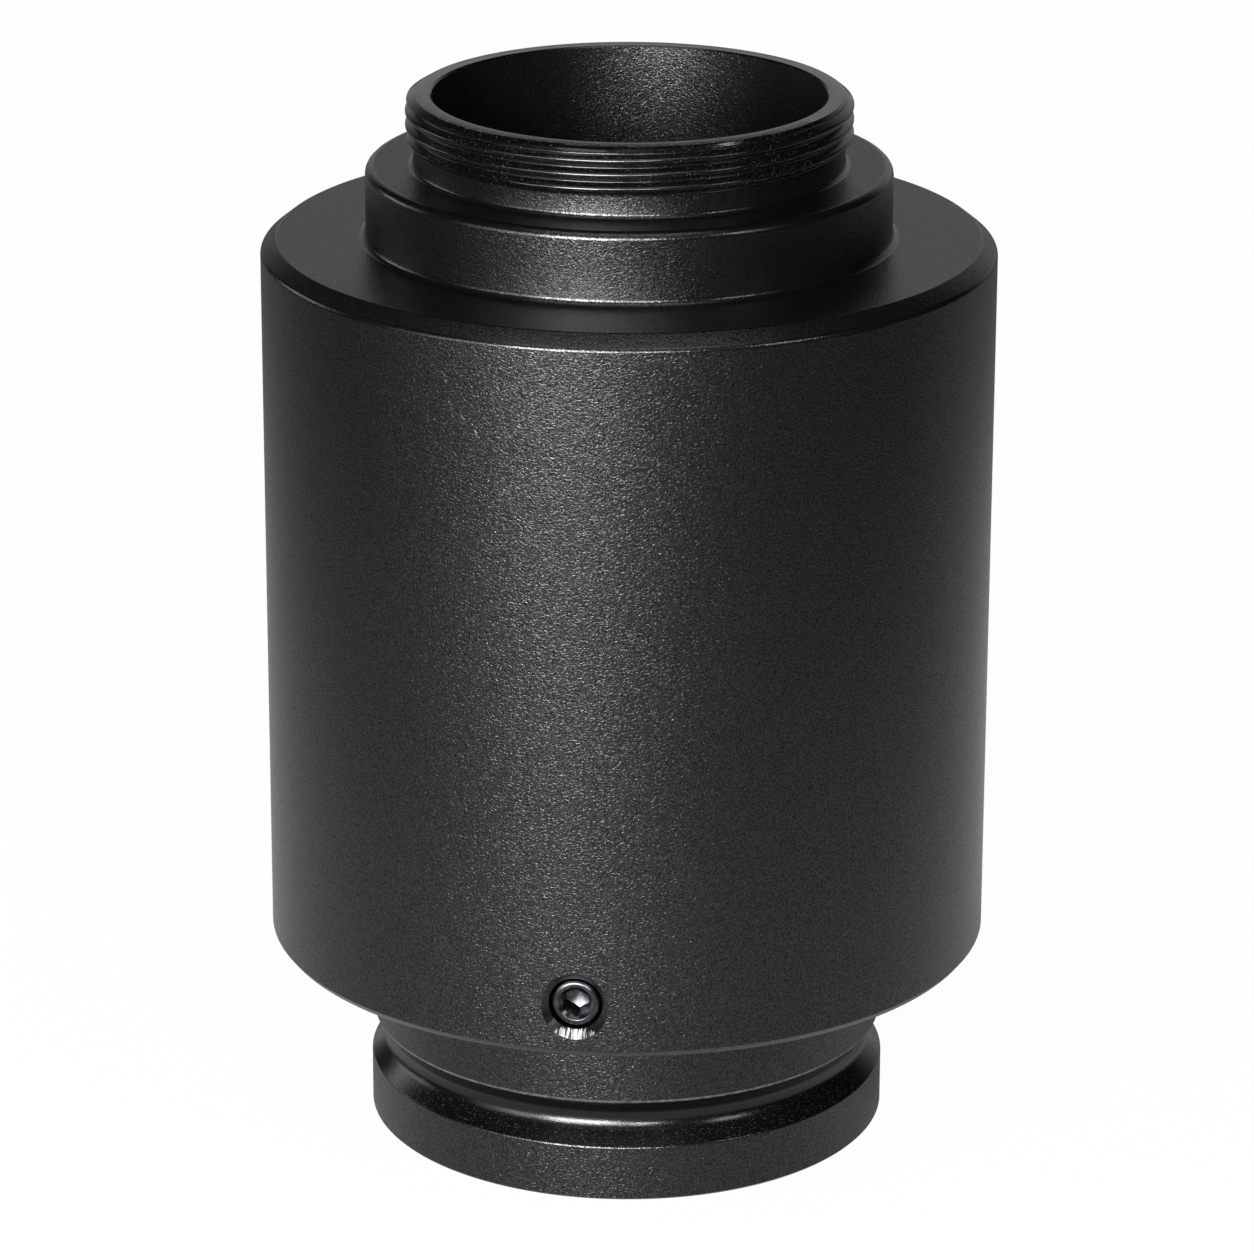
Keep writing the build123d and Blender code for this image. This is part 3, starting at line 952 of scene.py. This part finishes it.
# Painted reflection: to glossy rays the paper glows, brightest near the adapter and gone by 20 cm,
# with a painted shadow behind the adapter that cuts the glow to about a third, and a faint glow
# further back.
near = maths(tree, "MULTIPLY", band(tree, off_line(tree, place), 0.20, 0.04), 0.62)
beside_shade = band(tree, off_line(tree, place, 0.02), 0.022, 0.034)
unshaded = maths(tree, "ADD", 0.35, maths(tree, "MULTIPLY", beside_shade, 0.65))
near = maths(tree, "MULTIPLY", near, unshaded)
behind = maths(tree, "MULTIPLY", band(tree, split(tree, place)["Y"], 0.02, 0.12), 0.15)
around = maths(tree, "ADD", near, behind)
mirrored = maths(tree, "MULTIPLY", path.outputs["Is Glossy Ray"], around)
brightness = maths(tree, "MAXIMUM", path.outputs["Is Camera Ray"], mirrored)
glow = node(tree, "ShaderNodeEmission", Color=(1, 1, 1, 1))
tree.links.new(brightness, glow.inputs["Strength"])
seen = maths(tree, "MAXIMUM", path.outputs["Is Camera Ray"], path.outputs["Is Glossy Ray"])
share = maths(tree, "MULTIPLY", seen, 0.97)
blend = tree.nodes.new("ShaderNodeMixShader")
tree.links.new(share, blend.inputs[0])
tree.links.new(shader.outputs[0], blend.inputs[1])
tree.links.new(glow.outputs[0], blend.inputs[2])
tree.links.new(blend.outputs[0], tree.nodes["Material Output"].inputs["Surface"])
floor_mesh.materials.append(paper)

world = bpy.data.worlds.new("studio")
scene.world = world
world.use_nodes = True
tree = world.node_tree
sky = tree.nodes["Background"]
path = tree.nodes.new("ShaderNodeLightPath")
seen = maths(tree, "MAXIMUM", path.outputs["Is Camera Ray"], path.outputs["Is Transmission Ray"])
direction = tree.nodes.new("ShaderNodeTexCoord").outputs["Generated"]
behind = band(tree, split(tree, direction)["Y"], 0.72, 0.95)
room = mixed(tree, behind, (0.004, 0.004, 0.004, 1), (0.42, 0.42, 0.42, 1))
tree.links.new(mixed(tree, seen, room, (1, 1, 1, 1)), sky.inputs["Color"])
sky.inputs["Strength"].default_value = 1.0


def softbox(name, azimuth, elevation, distance, width, height, watts):
    """Rectangular soft light that faces the middle of the adapter."""
    lamp = bpy.data.lights.new(name, "AREA")
    lamp.shape = "RECTANGLE"
    lamp.size = width
    lamp.size_y = height
    lamp.energy = watts
    thing = bpy.data.objects.new(name, lamp)
    scene.collection.objects.link(thing)
    turn = Matrix.Rotation(radians(azimuth), 4, "Z")
    tilt = Matrix.Rotation(radians(90 - elevation), 4, "X")
    middle = Matrix.Translation((0, 0, 0.035))
    thing.matrix_world = middle @ turn @ tilt @ Matrix.Translation((0, 0, distance))
    return thing


key_light = softbox("key_light", -12.2, 12, 0.9, 0.47, 0.36, 18.1)
key_light.data.color = (0.96, 0.965, 1.0)
softbox("key_spill", -22, 12, 0.92, 1.0, 0.36, 4.0)
softbox("left_light", -50, 12, 0.9, 0.5, 0.4, 0.8)
softbox("far_left_light", -110, 12, 0.9, 0.4, 0.2, 0.5)
softbox("right_light", 58, 27, 0.9, 0.2, 0.15, 0.9)
softbox("top_light", 0, 66, 0.9, 0.8, 0.66, 2.5)
softbox("edge_light", 15, 16, 0.9, 0.16, 0.18, 3.0)

camera = bpy.data.cameras.new("camera")
camera.sensor_width = 36
camera.lens = 161.8
camera.shift_x = -0.00072
viewer = bpy.data.objects.new("camera", camera)
scene.collection.objects.link(viewer)
azimuth = radians(8.0)
look_down = radians(19.427)
roll = 0.0032
reach = 0.3103
height = 0.1391
stand = Matrix.Translation((reach * sin(azimuth), -reach * cos(azimuth), height))
turn = Matrix.Rotation(azimuth, 4, "Z")
tilt = Matrix.Rotation(pi / 2 - look_down, 4, "X")
viewer.matrix_world = stand @ turn @ tilt @ Matrix.Rotation(roll, 4, "Z")
scene.camera = viewer
